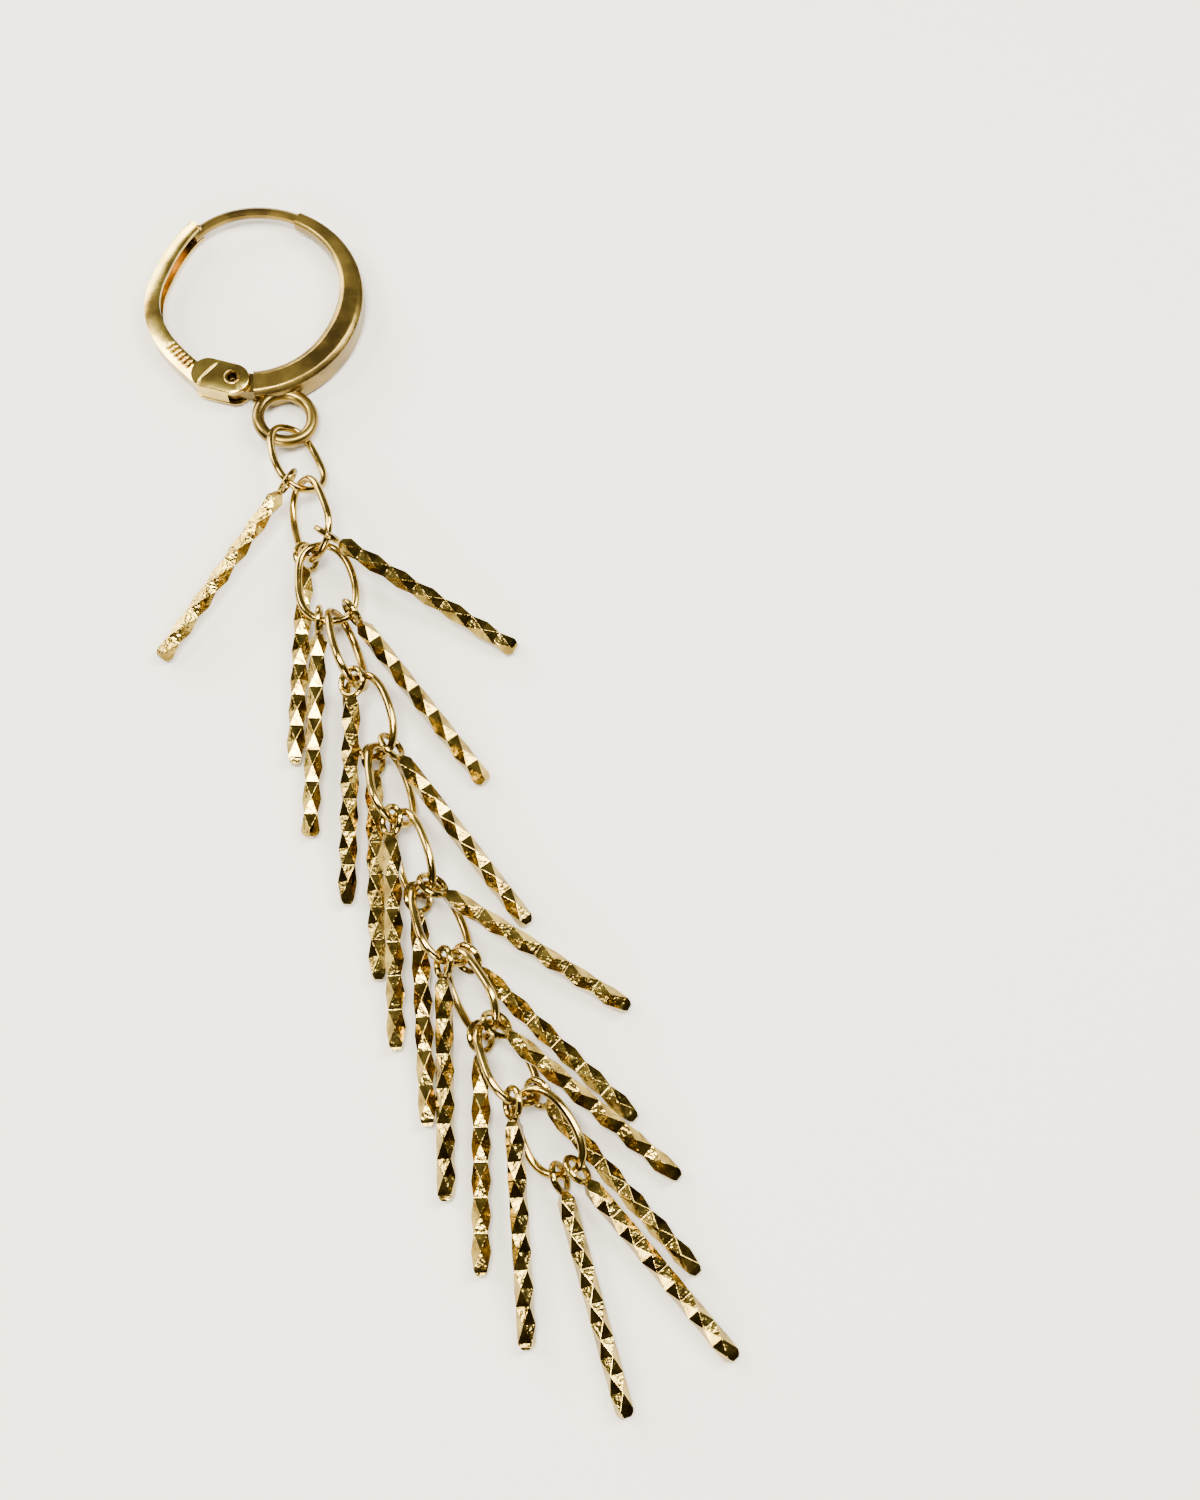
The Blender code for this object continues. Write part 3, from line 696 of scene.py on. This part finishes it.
bpy.ops.mesh.primitive_circle_add(
    vertices=4, radius=DROP_NECK / 2, fill_type="NGON",
    location=(0.0, -EYE_RADIUS, 0.0), rotation=(math.pi / 2, 0.0, 0.0))
drop_pattern = take_primitive("drop_pattern")
edit_all(drop_pattern)
straight = DROP_LENGTH - EYE_RADIUS - SHOULDER - TIP_TAPER
layers = round(straight / FACET_PITCH)
cuts = [Cut(SHOULDER, DROP_WIDTH / DROP_NECK, 0.0)]
cuts += [Cut(straight / layers, 1.0, math.pi / 4)] * layers
cuts += [Cut(TIP_TAPER * TIP_BREAK, TIP_BREAK_WIDTH, 0.0),
         Cut(TIP_TAPER * (1.0 - TIP_BREAK), DROP_TIP / DROP_WIDTH / TIP_BREAK_WIDTH, 0.0)]
reach = EYE_RADIUS
for cut in cuts:
    reach += cut.advance
    end = (0.0, -reach, 0.0)
    bpy.ops.mesh.extrude_region_move(TRANSFORM_OT_translate={"value": (0.0, -cut.advance, 0.0)})
    bpy.ops.transform.resize(value=(cut.growth, 1.0, cut.growth), center_override=end)
    if cut.turn:
        bpy.ops.transform.rotate(value=cut.turn, orient_axis="Y", center_override=end)
bpy.ops.mesh.select_all(action="SELECT")
bpy.ops.mesh.quads_convert_to_tris(quad_method="SHORTEST_DIAGONAL")
close_edit()
finish_with(drop_pattern, "BEVEL", width=CUT_EDGE, segments=1, limit_method="ANGLE",
            angle_limit=0.2)
bpy.ops.mesh.primitive_torus_add(
    major_radius=EYE_RADIUS, minor_radius=EYE_WIRE / 2, major_segments=36, minor_segments=12,
    location=(0.0, 0.0, 0.0))
fuse(drop_pattern, [take_primitive("eye")])

# Diamond-cut gold plate: facets cut with a polished tool and left as mirrors, so that each one
# shows a different part of the room. The tool's chatter is coarsened here to a fine sparkle
cut_gold = plated_gold("diamond_cut_gold_plate_on_brass", pale="#AE974A", deep="#75602A",
                       roughness=(0.07, 0.18), blotch=0.9 * MM, ripple=0.30 * MM,
                       relief=0.030 * MM)
drop_nodes = sorted(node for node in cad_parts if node.startswith("bar_"))
for node in drop_nodes:
    corners = corners_of(node)
    middle, along, _, _ = main_axes(corners)
    offsets = corners - np.array(middle)

    # The eye is wider than the bar, so the drop's upper end is the one that spreads further
    runs = offsets @ np.array(along)
    sideways = np.linalg.norm(offsets - np.outer(runs, np.array(along)), axis=1)
    up = along if sideways[runs > 0].max() > sideways[runs < 0].max() else -along
    runs = offsets @ np.array(up)
    eye = middle + up * (runs.max() - EYE_RADIUS - EYE_WIRE / 2)
    eye_corners = corners[runs > runs.max() - EYE_RADIUS]
    eye_axis = main_axes(eye_corners)[3]
    eye_axis = (eye_axis - up * eye_axis.dot(up)).normalized()
    drop = lay_copy(drop_pattern, "stick_" + node, eye, up.cross(eye_axis), up)
    dress(drop, cut_gold, "gold_diamond_cut", "earring", node, smooth=8.0)
bpy.data.objects.remove(drop_pattern, do_unlink=True)


# The setting: a pale matt floor, soft boxes round and above the earring with darker gaps between
# them, and the camera that looks down at it. Its places and sizes are in metres.
FLOOR_SIZE = 1.2
FLOOR_MIDDLE = (0.01, -0.025, 0.0)
BRIGHT_SIDE = (-0.30, 0.74, 0.60)
AIM = Vector((0.008, -0.025, 0.0))
SoftBox = namedtuple("SoftBox", "name place size watts colour")
SOFT_BOXES = (
    SoftBox("key", (-0.02, -0.06, 0.34), 0.10, 2.6, "#FFFAEA"),
    SoftBox("window", (-0.28, 0.20, 0.11), 0.20, 2.2, "#FFF8EA"),
    SoftBox("left", (-0.22, 0.03, 0.27), 0.11, 1.2, "#FFF8EA"),
    SoftBox("corner", (-0.15, 0.27, 0.14), 0.09, 0.7, "#FFF8EA"),
    SoftBox("east", (0.122, 0.025, 0.27), 0.10, 1.0, "#FFFAEA"),
    SoftBox("right", (0.22, 0.06, 0.25), 0.10, 1.0, "#FFFFFF"),
    SoftBox("front", (-0.06, -0.28, 0.12), 0.10, 0.8, "#FFF6EA"),
)
CAMERA_PLACE = (0.02001, -0.06803, 0.1222)
CAMERA_TILT = 20.0
FOCAL_LENGTH_MM = 53.26
SENSOR_WIDTH_MM = 36.0
NEAREST_SEEN = 0.005

bpy.ops.mesh.primitive_plane_add(size=FLOOR_SIZE, location=FLOOR_MIDDLE)
floor = take_primitive("floor")
floor_paint = bpy.data.materials.new("pale_matt_floor")
floor_paint.use_nodes = True
paint = floor_paint.node_tree.nodes["Principled BSDF"]
paint.inputs["Base Color"].default_value = linear("#DEDAD2")
paint.inputs["Roughness"].default_value = 0.85
floor.data.materials.append(floor_paint)

world = bpy.data.worlds.new("studio")
bpy.context.scene.world = world
world.use_nodes = True
background = world.node_tree.nodes["Background"]
background.inputs["Strength"].default_value = 1.0
room = add_node(world, "ShaderNodeTexCoord")
towards_light = add_node(world, "ShaderNodeVectorMath", {"operation": "DOT_PRODUCT"},
                         Vector=(room, "Generated"))
towards_light.inputs[1].default_value = BRIGHT_SIDE
walls = add_ramp(world, towards_light, "Value", (0.35, "#443C30"), (0.90, "#8B897B"))
world.node_tree.links.new(walls.outputs["Color"], background.inputs["Color"])

for box in SOFT_BOXES:
    light = bpy.data.lights.new(box.name, "AREA")
    light.size = box.size
    light.energy = box.watts
    light.color = linear(box.colour)[:3]
    lamp = bpy.data.objects.new(box.name, light)
    lamp.location = box.place
    lamp.rotation_euler = (AIM - Vector(box.place)).to_track_quat("-Z", "Y").to_euler()
    bpy.context.scene.collection.objects.link(lamp)

lens = bpy.data.cameras.new("camera")
lens.lens = FOCAL_LENGTH_MM
lens.sensor_width = SENSOR_WIDTH_MM
lens.clip_start = NEAREST_SEEN
camera = bpy.data.objects.new("camera", lens)
camera.location = CAMERA_PLACE
camera.rotation_euler = (math.radians(CAMERA_TILT), 0.0, 0.0)
bpy.context.scene.collection.objects.link(camera)
bpy.context.scene.camera = camera
